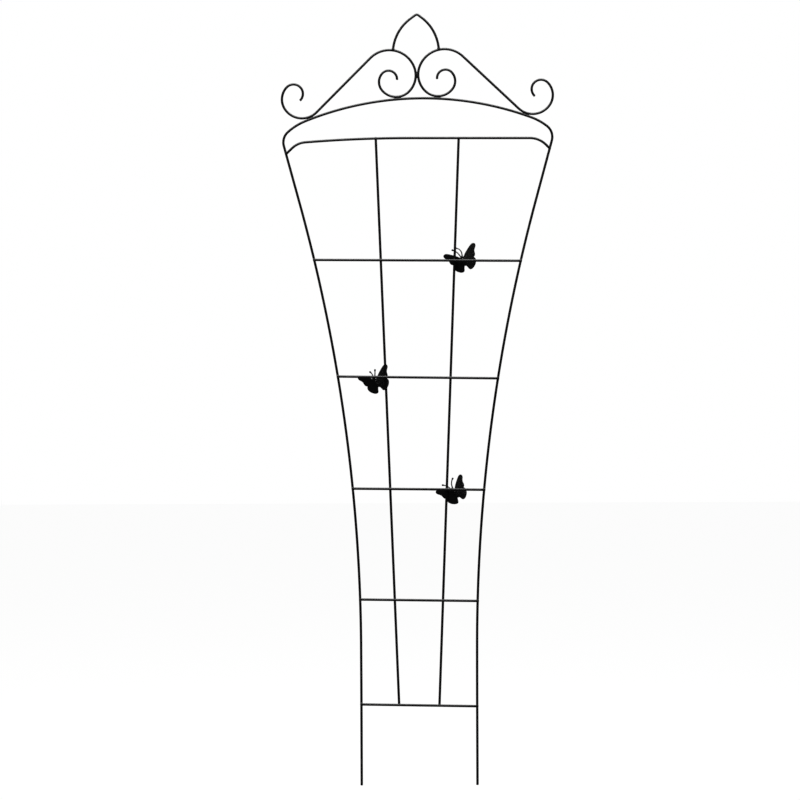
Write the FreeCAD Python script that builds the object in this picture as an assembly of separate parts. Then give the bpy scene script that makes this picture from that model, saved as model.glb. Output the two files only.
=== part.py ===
import FreeCAD, Part
import math
import os

# Flat garden trellis, bent and welded from one size of round steel rod.
# One long rod makes both legs, the flared sides and the arched top. Two uprights,
# five crossbars and a top bar fill it in. Two scrolls and a pointed loop crown it.
# Three sheet-metal butterflies are welded behind the crossbars.
#
# Frame: the origin is midway between the two leg tips, on the ground line.
# +X is to the right, +Y to the back and +Z up. All lengths are in millimetres.

V = FreeCAD.Vector

# ---------------------------------------------------------------- dimensions
ROD_D = 4.8              # 3/16 inch round rod, used for every bar
GAP = 0.05               # air left between two rods that touch
END_BEVEL = 0.5          # bevel on the sawn ends of straight bars
TOTAL_H = 1524.0         # 60 inches, leg tip to the top of the pointed loop

# Outer frame: from the left foot, over the top, to the right foot.
LEG_SPACING = 228.6      # 9 inches between the leg axes
STAKE_L = 145.0          # straight free length of each leg below the lowest crossbar
FLARE = ((37500.0, 0.2), (3380.0, 15.0))   # slow bends above it: radius, turn in degrees
LEAN = 15.2              # degrees the sides lean out above them
SHOULDER_R = 27.5
HAUNCH_R = 115.0         # looser bend between shoulder and arch
ARCH_R = 622.7
SHOULDER_TURN = (63.2, 67.3)   # left, right: the arch stands a little askew
HAUNCH_TURN = (20.2, 17.7)

# Cross members, at their axis heights on the middle line.
BAR_Z = (158.2, 365.5, 584.6, 805.1, 1036.1)
BAR_FALL = (1.1, 0.9, 0.7, 0.85, 0.45)   # degrees that each falls to the right
TOP_BAR_Z = 1277.6
UPRIGHT_HALF_TOP = 81.9  # half the distance between the uprights at the top bar
UPRIGHT_HALF_LOW = 39.8  # and at the lowest crossbar

# Top bar: straight and nearly level over most of its length, sagging towards the
# left, hooked down to the sides at both ends.
TOP_BAR_LEFT_END_Z = 1246.6
TOP_BAR_STRAIGHT = 234.8
TOP_BAR_FALL = 0.2             # degrees that the straight stretch falls to the right
TOP_BAR_SAG_R = 2600.0
TOP_BAR_SAG = 4.4
HOOK_R = (42.0, 45.0)          # left, right
HOOK_SLOPE = (44.0, 46.0)      # slope where the ends lap the sides
HOOK_TAIL = (16.6, 9.9)

# Scroll: a straight diagonal that winds into a large inner and a small outer curl.
# Each curl is a list of (radius, turn in degrees), tightening towards its tip.
SCROLL_L = 150.7
INNER_CURL = ((52.6, 114.6), (45.0, 66.0), (36.2, 95.0), (25.5, 80.5), (16.7, 144.0))
OUTER_CURL = ((40.9, 97.0), (35.0, 81.0), (18.5, 184.0))

# Pointed loop on top of the scrolls.
LOOP_FEET = (47.0, 43.2)       # left, right: distance of its feet from the middle
LOOP_FOOT_LEAN = 83.0    # degrees from level at the feet
LOOP_R = 86.0
LOOP_PEAK_ANGLE = 36.0   # slope of its sides just below the point
LOOP_PEAK_R = 5.0

# Butterflies.
SHEET_T = 1.2
BODY_R = 3.0
WIRE_D = 2.5
KNOB_R = 1.9
ANTENNA_APART = 1.4      # of each root from the middle of the head
ANTENNA_TILT = 22.0      # degrees the antennae rake back
# name, bar it hangs on, centre x, centre z, direction of the wings' axis, turn of the
# body against the wings, then for the left and right antenna: length, direction, turn
BUTTERFLIES = (
    ("butterfly_1", 4, 90.7, 1034.3, 111.8, 1.2, (24.5, 124.0, 38.0), (25.5, 100.0, 72.0)),
    ("butterfly_2", 3, -81.3, 795.1, 114.0, 10.0, (18.0, 101.0, 40.0), (18.0, 88.0, 6.0)),
    ("butterfly_3", 2, 73.4, 575.8, 124.0, 5.0, (23.0, 136.0, 38.0), (23.5, 111.0, -48.0)),
)
# How each pair of wings is bent by hand: size against the full stamping, degrees that a wing
# is folded back, and degrees that the whole pair is swung, its right wing backwards.
WING_SETS = {
    "butterfly_1": (1.0, 17.0, -5.0),
    "butterfly_2": (0.985, 24.0, -3.0),
    "butterfly_3": (0.94, 20.5, 3.5),
}

# Weld beads.
BEAD_R = 3.7             # ball of filler round each crossing
TACK_R = 3.9             # between a butterfly and its bar
FOOT_R = 4.0             # round each foot of the loop
SEAM = (8.0, 3.1, 2.9)   # half length, depth and width along touching curves


# ---------------------------------------------------------------- rods
def heading(angle):
    a = math.radians(angle)
    return V(math.cos(a), 0, math.sin(a))


class Bend:
    """A tangent chain of straight and round stretches in the XZ plane."""

    def __init__(self, x, z, angle):
        self.p = V(x, 0, z)
        self.start = V(x, 0, z)
        self.angle = angle
        self.first = angle
        self.edges = []
        self.centres = []

    def line(self, length):
        q = self.p + heading(self.angle) * length
        self.edges.append(Part.LineSegment(self.p, q).toShape())
        self.p = q
        return self

    def arc(self, radius, turn):
        """turn is positive anticlockwise, seen from the front."""
        side = 90.0 if turn > 0 else -90.0
        c = self.p + heading(self.angle + side) * radius
        mid = c + heading(self.angle - side + turn / 2.0) * radius
        q = c + heading(self.angle - side + turn) * radius
        self.edges.append(Part.Arc(self.p, mid, q).toShape())
        self.p = q
        self.angle += turn
        self.centres.append(c)
        return self

    def arcs(self, curl, sign):
        for radius, turn in curl:
            self.arc(radius, sign * turn)
        return self

    def rod(self, diameter, y=0.0):
        ring = Part.Circle(self.start, heading(self.first), diameter / 2.0).toShape()
        pipe = Part.Wire(self.edges).makePipeShell([Part.Wire([ring])], True, False)
        pipe.translate(V(0, y, 0))
        return pipe


def straight_rod(a, b, bevel=END_BEVEL):
    """Round bar from a to b with bevelled ends."""
    along = b - a
    bar = Part.makeCylinder(ROD_D / 2.0, along.Length, a, along)
    ends = [e for e in bar.Edges if len(e.Vertexes) == 1 and isinstance(e.Curve, Part.Circle)]
    return bar.makeChamfer(bevel, ends)


# ---------------------------------------------------------------- outer frame
def frame_path(left_run, right_run):
    """Both legs, the sides and the arch as one bent rod."""
    arch_turn = 2 * (90.0 + LEAN) - sum(SHOULDER_TURN) - sum(HAUNCH_TURN)
    b = Bend(-LEG_SPACING / 2.0, 0, 90)
    b.line(STAKE_L).arcs(FLARE, 1).line(left_run)
    b.arc(SHOULDER_R, -SHOULDER_TURN[0]).arc(HAUNCH_R, -HAUNCH_TURN[0])
    b.arc(ARCH_R, -arch_turn)
    b.arc(HAUNCH_R, -HAUNCH_TURN[1]).arc(SHOULDER_R, -SHOULDER_TURN[1])
    b.line(right_run).arcs(FLARE[::-1], 1).line(STAKE_L)
    return b


def two_runs(u, w, target):
    """Lengths along u and w that add up to target."""
    det = u.x * w.z - u.z * w.x
    return (target.x * w.z - target.z * w.x) / det, (u.x * target.z - u.z * target.x) / det


def closed_frame():
    """Choose the two straight side runs so that the chain ends at the right foot."""
    miss = V(LEG_SPACING / 2.0, 0, 0) - frame_path(1.0, 1.0).p
    left, right = two_runs(heading(90 + LEAN), heading(-90 - LEAN), miss)
    return frame_path(1.0 + left, 1.0 + right)


frame = closed_frame()
arch_c = frame.centres[4]
outer_frame = frame.rod(ROD_D)


def side_x(z):
    """Distance of a side's axis from the middle at height z."""
    x = LEG_SPACING / 2.0
    low = STAKE_L
    lean = 0.0
    for radius, turn in FLARE:
        start = math.radians(lean)
        end = math.radians(lean + turn)
        top = low + radius * (math.sin(end) - math.sin(start))
        if z < top:
            sine = math.sin(start) + max(z - low, 0.0) / radius
            return x + radius * (math.cos(start) - math.sqrt(1 - sine ** 2))
        x += radius * (math.cos(start) - math.cos(end))
        low = top
        lean += turn
    return x + (z - low) * math.tan(math.radians(LEAN))


# ---------------------------------------------------------------- cross members
BAR_Y = -(ROD_D + GAP)   # the bars lie in front of the frame and the uprights


def upright_x(z):
    """Distance of an upright's axis from the middle at height z."""
    k = (z - BAR_Z[0]) / (TOP_BAR_Z - BAR_Z[0])
    return UPRIGHT_HALF_LOW + k * (UPRIGHT_HALF_TOP - UPRIGHT_HALF_LOW)


def crossing(index, side, rod_x):
    """Point of a crossbar's axis in front of the rod whose distance from the middle is rod_x(z)."""
    slope = math.tan(math.radians(BAR_FALL[index]))
    z = BAR_Z[index]
    for _ in range(4):
        z = BAR_Z[index] - side * rod_x(z) * slope
    return V(side * rod_x(z), BAR_Y, z)


def crossbar(index):
    """Level but for its fall, and a little longer than the width between the sides' axes."""
    left = crossing(index, -1, side_x)
    right = crossing(index, 1, side_x)
    past = (right - left).normalize() * (ROD_D / 2.0)
    return straight_rod(left - past, right + past)


crossbars = [crossbar(i) for i in range(len(BAR_Z))]


def upright(side):
    low = crossing(0, side, upright_x).z - ROD_D / 2.0
    top = TOP_BAR_Z + ROD_D / 2.0
    return straight_rod(V(side * upright_x(low), 0, low), V(side * upright_x(top), 0, top))


uprights = {"left": upright(-1), "right": upright(1)}


def top_bar_path():
    b = Bend(-side_x(TOP_BAR_LEFT_END_Z), TOP_BAR_LEFT_END_Z, HOOK_SLOPE[0])
    b.line(HOOK_TAIL[0]).arc(HOOK_R[0], TOP_BAR_SAG - HOOK_SLOPE[0])
    b.arc(TOP_BAR_SAG_R, -TOP_BAR_SAG - TOP_BAR_FALL).line(TOP_BAR_STRAIGHT)
    b.arc(HOOK_R[1], TOP_BAR_FALL - HOOK_SLOPE[1]).line(HOOK_TAIL[1])
    return b


top_path = top_bar_path()
top_bar = top_path.rod(ROD_D, BAR_Y)


# ---------------------------------------------------------------- scrolls
def scroll_path(x, z, angle):
    """Right-hand scroll, from its outer tip to its inner tip."""
    b = Bend(x, z, angle)
    b.arcs(OUTER_CURL[::-1], -1).line(SCROLL_L).arcs(INNER_CURL, 1)
    return b


def spin(p, c, angle):
    """p turned anticlockwise about c in the XZ plane."""
    return c + FreeCAD.Rotation(V(0, -1, 0), angle).multVec(p - c)


def right_scroll(arch_x):
    """Rest the scroll on the arch at two points, with its big curl on the middle plane."""
    b = scroll_path(0, 0, 0)
    outer_c, side_c, low_c = b.centres[2], b.centres[4], b.centres[5]
    touch = ARCH_R + ROD_D + GAP
    r_low = touch + INNER_CURL[2][0]
    r_outer = touch + OUTER_CURL[0][0]
    gap = outer_c - low_c
    along = (r_low ** 2 - r_outer ** 2 + gap.Length ** 2) / (2 * gap.Length)
    u = gap * (1.0 / gap.Length)
    n = V(u.z, 0, -u.x)
    below = low_c + u * along + n * math.sqrt(r_low ** 2 - along ** 2)
    reach = side_c - below
    now = math.degrees(math.atan2(reach.z, reach.x))
    want_x = INNER_CURL[1][0] + (ROD_D + GAP) / 2.0 - arch_x
    turn = math.degrees(math.acos(want_x / reach.Length)) - now
    start = spin(b.start, below, turn) - below + V(arch_x, 0, arch_c.z)
    return scroll_path(start.x, start.z, turn)


def mirrored(p):
    return V(-p.x, p.y, p.z)


right_path = right_scroll(arch_c.x)
left_path = right_scroll(-arch_c.x)
scroll_right = right_path.rod(ROD_D)
scroll_left = left_path.rod(ROD_D).mirror(V(0, 0, 0), V(1, 0, 0))


# ---------------------------------------------------------------- pointed loop
def foot_z(path, foot_x):
    """Height at which a foot of the loop meets the top of a scroll."""
    c = path.centres[3]
    return c.z + math.sqrt((INNER_CURL[0][0] + ROD_D / 2.0) ** 2 - (foot_x - c.x) ** 2) + GAP


def loop_path(left_z, right_z):
    """Over the point, from the left foot to the right foot."""
    side_turn = LOOP_FOOT_LEAN - LOOP_PEAK_ANGLE
    round_part = Bend(0, 0, LOOP_FOOT_LEAN)
    round_part.arc(LOOP_R, -side_turn).arc(LOOP_PEAK_R, -LOOP_PEAK_ANGLE)
    runs = []
    for x, z in zip(LOOP_FEET, (left_z, right_z)):
        rest = V(x, 0, TOTAL_H - ROD_D / 2.0 - z) - round_part.p
        runs.append(two_runs(heading(LOOP_FOOT_LEAN), heading(LOOP_PEAK_ANGLE), rest))
    b = Bend(-LOOP_FEET[0], left_z, LOOP_FOOT_LEAN)
    b.line(runs[0][0]).arc(LOOP_R, -side_turn).line(runs[0][1])
    b.arc(LOOP_PEAK_R, -2 * LOOP_PEAK_ANGLE)
    b.line(runs[1][1]).arc(LOOP_R, -side_turn).line(runs[1][0])
    return b


loop = loop_path(foot_z(left_path, LOOP_FEET[0]), foot_z(right_path, LOOP_FEET[1]))
pointed_loop = loop.rod(ROD_D)


# ---------------------------------------------------------------- butterflies
# Half outlines in a flat wing's own plane: x out from the fold, z towards the head.
FORE_EDGE = ((0, 9.0), (3.4, 9.2), (5.9, 11.3), (8.9, 14.1), (12.6, 17.0), (20.5, 22.7), (26.6, 26.3),
             (31.0, 27.3), (34.8, 25.3), (35.1, 21.4), (31.6, 16.4), (28.6, 11.4), (28.0, 7.4),
             (26.6, 3.6), (22.9, 0.7))
HIND_EDGE = ((22.9, 0.7), (25.0, -3.6), (24.0, -8.6), (20.8, -13.5), (16.2, -17.4),
             (10.4, -19.9), (6.4, -19.3), (3.6, -14.0), (0, -7.4))
HEAD_AT = 9.0            # head centre along the body axis
ABDOMEN_AT = -1.5        # centre of the long ellipsoid behind it
ABDOMEN_HALF = 8.5


def spline(points, size):
    curve = Part.BSplineCurve()
    curve.interpolate([V(x, 0, z) * size for x, z in points])
    return curve.toShape()


def wing_pair(size, fold, swing):
    """One scalloped sheet, folded back along the body line."""
    fore = spline(FORE_EDGE, size)
    hind = spline(HIND_EDGE, size)
    top, low = V(0, 0, FORE_EDGE[0][1] * size), V(0, 0, HIND_EDGE[-1][1] * size)
    tab = V(-1, 0, 0)
    edges = [fore, hind]
    for a, b in ((low, low + tab), (low + tab, top + tab), (top + tab, top)):
        edges.append(Part.LineSegment(a, b).toShape())
    face = Part.Face(Part.Wire(edges))
    flat = face.extrude(V(0, SHEET_T, 0))
    flat.translate(V(0, -SHEET_T / 2.0, 0))
    flat.rotate(V(0, 0, 0), V(0, 0, 1), fold)
    right = flat.common(Part.makeBox(60, 60, 80, V(0, -30, -40)))
    left = right.mirror(V(0, 0, 0), V(1, 0, 0))
    pair = right.fuse(left).removeSplitter()
    pair.rotate(V(0, 0, 0), V(0, 0, 1), swing)
    return pair


def body_solid():
    """Long ellipsoid with a round head."""
    oval = Part.Ellipse(V(0, 0, ABDOMEN_AT + ABDOMEN_HALF), V(BODY_R, 0, ABDOMEN_AT), V(0, 0, ABDOMEN_AT))
    half = Part.ArcOfEllipse(oval, -math.pi, 0)
    mid = half.value((half.FirstParameter + half.LastParameter) / 2.0)
    if mid.x < 0:
        half = Part.ArcOfEllipse(oval, 0, math.pi)
    a, b = half.StartPoint, half.EndPoint
    axis = Part.LineSegment(b, a).toShape()
    torso = Part.Face(Part.Wire([half.toShape(), axis])).revolve(V(0, 0, 0), V(0, 0, 1), 360)
    head = Part.makeSphere(BODY_R, V(0, 0, HEAD_AT))
    return Part.makeSolid(torso.Shells[0]).fuse(head).removeSplitter()


def antenna(side, length, start, turn):
    """Bent wire with a ball tip, leaving the head and raking back."""
    b = Bend(side * ANTENNA_APART, HEAD_AT, start)
    straight = 0.3 * length
    b.line(straight).arc((length - straight) / math.radians(abs(turn)), turn)
    wire = b.rod(WIRE_D).fuse(Part.makeSphere(KNOB_R, b.p, V(0, 1, 0)))
    wire.rotate(V(0, 0, HEAD_AT), V(-1, 0, 0), ANTENNA_TILT)
    return wire


BODY_Y = BAR_Y + ROD_D / 2.0 + GAP + BODY_R      # the body touches the back of its bar
FOLD_BEHIND = 2.9                                # fold of the sheet behind the body axis
TWIST_AT = -4.0                                  # point of the body that stays on the fold


def butterfly(wings, x, z, axis, twist, left, right):
    """Solids of one butterfly, standing at its place behind its bar."""
    wings.translate(V(0, FOLD_BEHIND, 0))
    body = body_solid()
    out = {"body": body}
    for name, side, (length, start, turn) in (("left", -1, left), ("right", 1, right)):
        wire = antenna(side, length, start - axis - twist + 90, turn)
        out["antenna_" + name] = wire.cut(body)
    for solid in out.values():
        solid.rotate(V(0, 0, TWIST_AT), V(0, -1, 0), twist)
    out["body"] = body.cut(wings)
    out["wings"] = wings
    for solid in out.values():
        solid.rotate(V(0, 0, 0), V(0, -1, 0), axis - 90)
        solid.translate(V(x, BODY_Y, z))
    return out


# ---------------------------------------------------------------- weld beads
def ball_bead(p, radius, cutters, pole=V(0, 1, 0)):
    """Ball of filler, with its poles towards the two pieces that it joins."""
    return Part.makeSphere(radius, p, pole).cut(cutters)


def long_bead(p, angle, cutters):
    """Oval bead along the seam of two rods that lie side by side."""
    m = FreeCAD.Matrix()
    m.scale(*SEAM)
    oval = Part.makeSphere(1.0).transformGeometry(m)
    oval.rotate(V(0, 0, 0), V(0, -1, 0), angle)
    oval.translate(p)
    return oval.cut(cutters)


LAP = V(0, -BAR_Y / 2.0, 0)    # from a bar's axis to its lap with the rod behind it

side_welds = []
upright_welds = []
for s, post in ((-1, uprights["left"]), (1, uprights["right"])):
    for i, bar in enumerate(crossbars):
        side_welds.append(ball_bead(crossing(i, s, side_x) + LAP, BEAD_R, [bar, outer_frame]))
        upright_welds.append(ball_bead(crossing(i, s, upright_x) + LAP, BEAD_R, [bar, post]))
    end = top_path.start if s < 0 else top_path.p
    side_welds.append(ball_bead(V(end.x, BAR_Y, end.z) + LAP, BEAD_R, [top_bar, outer_frame]))
    at = V(s * upright_x(TOP_BAR_Z), BAR_Y, TOP_BAR_Z) + LAP
    upright_welds.append(ball_bead(at, BEAD_R, [top_bar, post]))


def seam(path, centre_index, flip):
    """Point and direction of a seam between the arch and one curl of a scroll."""
    c = path.centres[centre_index]
    x = arch_c.x if flip > 0 else -arch_c.x
    base = V(x, 0, arch_c.z)
    out = (c - base).normalize()
    p = base + out * (ARCH_R + (ROD_D + GAP) / 2.0)
    angle = math.degrees(math.atan2(out.z, out.x)) - 90
    return (p, angle) if flip > 0 else (mirrored(p), -angle)


crown_welds = []
for path, flip, curl in ((left_path, -1, scroll_left), (right_path, 1, scroll_right)):
    for index in (2, 5):
        p, angle = seam(path, index, flip)
        crown_welds.append(long_bead(p, angle, [curl, outer_frame]))
    foot = loop.start if flip < 0 else loop.p
    foot_bead = ball_bead(foot - V(0, 0, 0.4), FOOT_R, [curl, pointed_loop], V(0, 0, 1))
    crown_welds.append(foot_bead)
middle = V(0, 0, (left_path.centres[4].z + right_path.centres[4].z) / 2.0)
crown_welds.append(long_bead(middle, 90, [scroll_left, scroll_right]))

# ---------------------------------------------------------------- files
nodes = {
    "outer_frame": outer_frame,
    "top_bar": top_bar,
    "upright_left": uprights["left"],
    "upright_right": uprights["right"],
    "scroll_left": scroll_left,
    "scroll_right": scroll_right,
    "pointed_loop": pointed_loop,
    "welds_sides": Part.makeCompound(side_welds),
    "welds_uprights": Part.makeCompound(upright_welds),
    "welds_crown": Part.makeCompound(crown_welds),
}
for i, bar in enumerate(crossbars):
    nodes["crossbar_%d" % (i + 1)] = bar

tacks = []
for name, bar_index, x, z, axis, twist, left, right in BUTTERFLIES:
    parts = butterfly(wing_pair(*WING_SETS[name]), x, z, axis, twist, left, right)
    tail = V(x, BODY_Y, z) + heading(axis) * TWIST_AT
    bar_z = BAR_Z[bar_index] - x * math.tan(math.radians(BAR_FALL[bar_index]))
    along = (bar_z - tail.z) / heading(axis + twist).z
    at = tail + heading(axis + twist) * min(along, HEAD_AT - TWIST_AT)
    at.z = (at.z + bar_z) / 2.0
    at.y = BAR_Y + (ROD_D + GAP) / 2.0
    tacks.append(ball_bead(at, TACK_R, [crossbars[bar_index]] + list(parts.values()), V(1, 0, 0)))
    for key, solid in parts.items():
        nodes[name + "_" + key] = solid
nodes["welds_butterflies"] = Part.makeCompound(tacks)

os.makedirs("parts", exist_ok=True)
for name, shape in nodes.items():
    shape.exportStep("parts/" + name + ".step")
    print(name, len(shape.Solids), shape.isValid(), round(shape.Volume, 1))
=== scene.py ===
"""Looks of the garden trellis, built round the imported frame.

The frame's axes: origin midway between the leg tips, +X right, +Y back, +Z up.
The object's sizes are in millimetres, which MM turns into Blender's metres. Those
of the floor, the lights and the camera are in metres unless their names say mm.
"""

import math

import bpy
import numpy as np
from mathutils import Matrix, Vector, noise
from mathutils.geometry import delaunay_2d_cdt


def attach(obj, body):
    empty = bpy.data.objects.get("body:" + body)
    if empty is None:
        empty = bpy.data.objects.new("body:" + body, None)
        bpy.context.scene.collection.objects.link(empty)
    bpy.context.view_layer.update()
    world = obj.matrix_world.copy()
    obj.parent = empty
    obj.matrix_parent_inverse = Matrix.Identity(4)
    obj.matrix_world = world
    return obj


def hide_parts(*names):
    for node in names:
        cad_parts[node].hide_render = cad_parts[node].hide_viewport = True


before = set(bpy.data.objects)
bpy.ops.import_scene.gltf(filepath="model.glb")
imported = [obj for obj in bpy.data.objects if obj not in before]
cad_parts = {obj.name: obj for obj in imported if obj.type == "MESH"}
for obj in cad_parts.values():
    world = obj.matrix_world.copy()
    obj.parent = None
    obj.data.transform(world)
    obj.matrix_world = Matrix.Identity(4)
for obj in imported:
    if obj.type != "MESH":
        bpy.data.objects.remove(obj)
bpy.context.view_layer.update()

MM = 0.001

# ---------------------------------------------------------------- dimensions
ROD_R = 2.4
GAP = 0.05
BAR_Y = -(2 * ROD_R + GAP)     # axis of the bars, in front of everything they lap
LEG_X = 114.3
STAKE_L = 145.0
FLARE = ((37500.0, 0.2), (3380.0, 15.0))
LEAN = 15.2
SIDE_RUN = (116.8, 126.23)     # left, right: straight stretch below the shoulder
SHOULDER_R = 27.5
SHOULDER_TURN = (63.2, 67.3)
HAUNCH_R = 115.0
HAUNCH_TURN = (20.2, 17.7)
ARCH_R = 622.7

BAR_Z = (158.2, 365.5, 584.6, 805.1, 1036.1)
BAR_FALL = (1.1, 0.9, 0.7, 0.85, 0.45)
TOP_BAR_Z = 1277.6
UPRIGHT_HALF = (39.8, 81.9)    # at the lowest bar and at the top bar

TOP_BAR_START = (-258.92, 1246.6)
TOP_BAR_SLOPE = (44.0, 46.0)
TOP_BAR_TAIL = (16.6, 9.9)
TOP_BAR_HOOK_R = (42.0, 45.0)
TOP_BAR_SAG = (2600.0, 4.4)
TOP_BAR_FALL = 0.2
TOP_BAR_STRAIGHT = 234.8

SCROLL_RUN = 150.7
INNER_CURL = ((52.6, 114.6), (45.0, 66.0), (36.2, 95.0), (25.5, 80.5), (16.7, 144.0))
OUTER_CURL = ((40.9, 97.0), (35.0, 81.0), (18.5, 184.0))
SCROLL_START = {-1: (231.3, 1352.75, 136.97), 1: (232.72, 1359.87, 138.73)}

LOOP_START = (-47.0, 1453.72)
LOOP_LEAN = 83.0
LOOP_LEGS = (1.23, 3.18)
LOOP_SIDE = (70.55, 86.0)      # length and radius of its bowed sides
LOOP_SLOPES = (11.25, 6.26)
LOOP_PEAK_R = 5.0
LOOP_PEAK_TURN = 72.0

# Sampling of the paths, in millimetres and degrees.
STRAIGHT = 1e6                 # the radius given to a straight stretch
LINE_PITCH = 14.0
ARC_PITCH = 8.0
ARC_STEP = 3.0
CROSSING_ROUNDS = 4
MIRROR = np.array([-1.0, 1.0, 1.0])
TO_FRONT = np.array([0.0, -1.0, 0.0])


# ---------------------------------------------------------------- paths
def heading(angle):
    a = math.radians(angle)
    return np.array([math.cos(a), 0.0, math.sin(a)])


class Path:
    """Sampled tangent chain of straight and round stretches in the XZ plane."""

    def __init__(self, x, z, angle, y=0.0):
        self.p = np.array([x, y, z])
        self.angle = angle
        self.points = []
        self.angles = []
        self.radii = []
        self.circles = []

    def add(self, p, angle, radius):
        self.points.append(p)
        self.angles.append(angle)
        self.radii.append(radius)

    def line(self, length, pitch=LINE_PITCH):
        n = max(1, math.ceil(length / pitch))
        for i in range(n):
            self.add(self.p + heading(self.angle) * (length * i / n), self.angle, STRAIGHT)
        self.p = self.p + heading(self.angle) * length
        return self

    def arc(self, radius, turn):
        """turn is positive anticlockwise, seen from the front."""
        side = 90.0 if turn > 0 else -90.0
        c = self.p + heading(self.angle + side) * radius
        length = radius * math.radians(abs(turn))
        n = max(2, math.ceil(abs(turn) / ARC_STEP), math.ceil(length / ARC_PITCH))
        for i in range(n):
            t = turn * i / n
            self.add(c + heading(self.angle - side + t) * radius, self.angle + t, radius)
        self.p = c + heading(self.angle - side + turn) * radius
        self.angle += turn
        self.circles.append((c, radius))
        return self

    def arcs(self, curl, sign):
        for radius, turn in curl:
            self.arc(radius, sign * turn)
        return self

    def done(self):
        self.add(self.p, self.angle, self.radii[-1])
        self.points = np.array(self.points)
        return self

    def mirrored(self):
        other = Path(0, 0, 0)
        other.points = self.points * MIRROR
        other.angles = [180.0 - a for a in self.angles]
        other.radii = self.radii
        other.circles = [(c * MIRROR, r) for c, r in self.circles]
        other.p = other.points[-1]
        return other


def frame_path():
    arch_turn = 2 * (90.0 + LEAN) - sum(SHOULDER_TURN) - sum(HAUNCH_TURN)
    b = Path(-LEG_X, 0, 90)
    b.line(STAKE_L).arcs(FLARE, 1).line(SIDE_RUN[0])
    b.arc(SHOULDER_R, -SHOULDER_TURN[0]).arc(HAUNCH_R, -HAUNCH_TURN[0])
    b.arc(ARCH_R, -arch_turn)
    b.arc(HAUNCH_R, -HAUNCH_TURN[1]).arc(SHOULDER_R, -SHOULDER_TURN[1])
    b.line(SIDE_RUN[1]).arcs(FLARE[::-1], 1).line(STAKE_L)
    return b.done()


def top_bar_path():
    radius, sag = TOP_BAR_SAG
    b = Path(*TOP_BAR_START, TOP_BAR_SLOPE[0], BAR_Y)
    b.line(TOP_BAR_TAIL[0]).arc(TOP_BAR_HOOK_R[0], sag - TOP_BAR_SLOPE[0])
    b.arc(radius, -sag - TOP_BAR_FALL).line(TOP_BAR_STRAIGHT)
    b.arc(TOP_BAR_HOOK_R[1], TOP_BAR_FALL - TOP_BAR_SLOPE[1]).line(TOP_BAR_TAIL[1])
    return b.done()


def scroll_path(side):
    b = Path(*SCROLL_START[side])
    b.arcs(OUTER_CURL[::-1], -1).line(SCROLL_RUN).arcs(INNER_CURL, 1).done()
    return b if side > 0 else b.mirrored()


def loop_path():
    length, radius = LOOP_SIDE
    turn = math.degrees(length / radius)
    b = Path(*LOOP_START, LOOP_LEAN)
    b.line(LOOP_LEGS[0]).arc(radius, -turn).line(LOOP_SLOPES[0])
    b.arc(LOOP_PEAK_R, -LOOP_PEAK_TURN)
    b.line(LOOP_SLOPES[1]).arc(radius, -turn).line(LOOP_LEGS[1])
    return b.done()


def straight_path(a, b):
    run = b - a
    path = Path(a[0], a[2], math.degrees(math.atan2(run[2], run[0])), a[1])
    return path.line(float(np.linalg.norm(run))).done()


def upright_x(z):
    k = (z - BAR_Z[0]) / (TOP_BAR_Z - BAR_Z[0])
    return UPRIGHT_HALF[0] + k * (UPRIGHT_HALF[1] - UPRIGHT_HALF[0])


outer = frame_path()


def side_x(z):
    """Distance of the sides' axes from the middle, read off the frame's left side."""
    left_side = outer.points[: len(outer.points) // 3]
    return float(-np.interp(z, left_side[:, 2], left_side[:, 0]))


def crossing(index, side, rod_x):
    """Point of a crossbar's axis in front of a rod.

    rod_x(z) is the rod's distance from the middle at height z.
    """
    slope = math.tan(math.radians(BAR_FALL[index]))
    z = BAR_Z[index]
    for _ in range(CROSSING_ROUNDS):
        z = BAR_Z[index] - side * rod_x(z) * slope
    return np.array([side * rod_x(z), BAR_Y, z])


def crossbar_path(index):
    left = crossing(index, -1, side_x)
    right = crossing(index, 1, side_x)
    past = (right - left) / np.linalg.norm(right - left) * ROD_R
    return straight_path(left - past, right + past)


def upright_path(side):
    low = crossing(0, side, upright_x)[2] - ROD_R
    top = TOP_BAR_Z + ROD_R
    ends = [np.array([side * upright_x(z), 0.0, z]) for z in (low, top)]
    return straight_path(*ends)


# ---------------------------------------------------------------- meshes
def new_piece(name, verts, faces, material, nodes):
    mesh = bpy.data.meshes.new(name)
    mesh.from_pydata([tuple(v) for v in np.asarray(verts) * MM], [], faces)
    mesh.validate()
    mesh.materials.append(material)
    for poly in mesh.polygons:
        poly.use_smooth = True
    piece = bpy.data.objects.new(name, mesh)
    bpy.context.scene.collection.objects.link(piece)
    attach(piece, "root")
    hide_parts(*nodes)


def skin(rings, first_tip, last_tip):
    """Closed mesh over a list of rings of equal size, with a point at each end."""
    n = len(rings[0])
    verts = np.vstack(list(rings) + [[first_tip], [last_tip]])
    faces = []
    for i in range(len(rings) - 1):
        for j in range(n):
            k = (j + 1) % n
            faces.append((i * n + j, i * n + k, (i + 1) * n + k, (i + 1) * n + j))
    tip, tail = len(verts) - 2, len(verts) - 1
    b = (len(rings) - 1) * n
    for j in range(n):
        k = (j + 1) % n
        faces.append((tip, k, j))
        faces.append((tail, b + j, b + k))
    return verts, faces


def run_along(points):
    """Length run from the first point to each point."""
    steps = np.linalg.norm(np.diff(points, axis=0), axis=1)
    return np.concatenate([[0.0], np.cumsum(steps)])


def columns(at, run, points):
    """Points at the places at along a line whose own points lie at run."""
    return np.stack([np.interp(at, run, points[:, k]) for k in range(points.shape[1])], axis=1)


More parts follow.
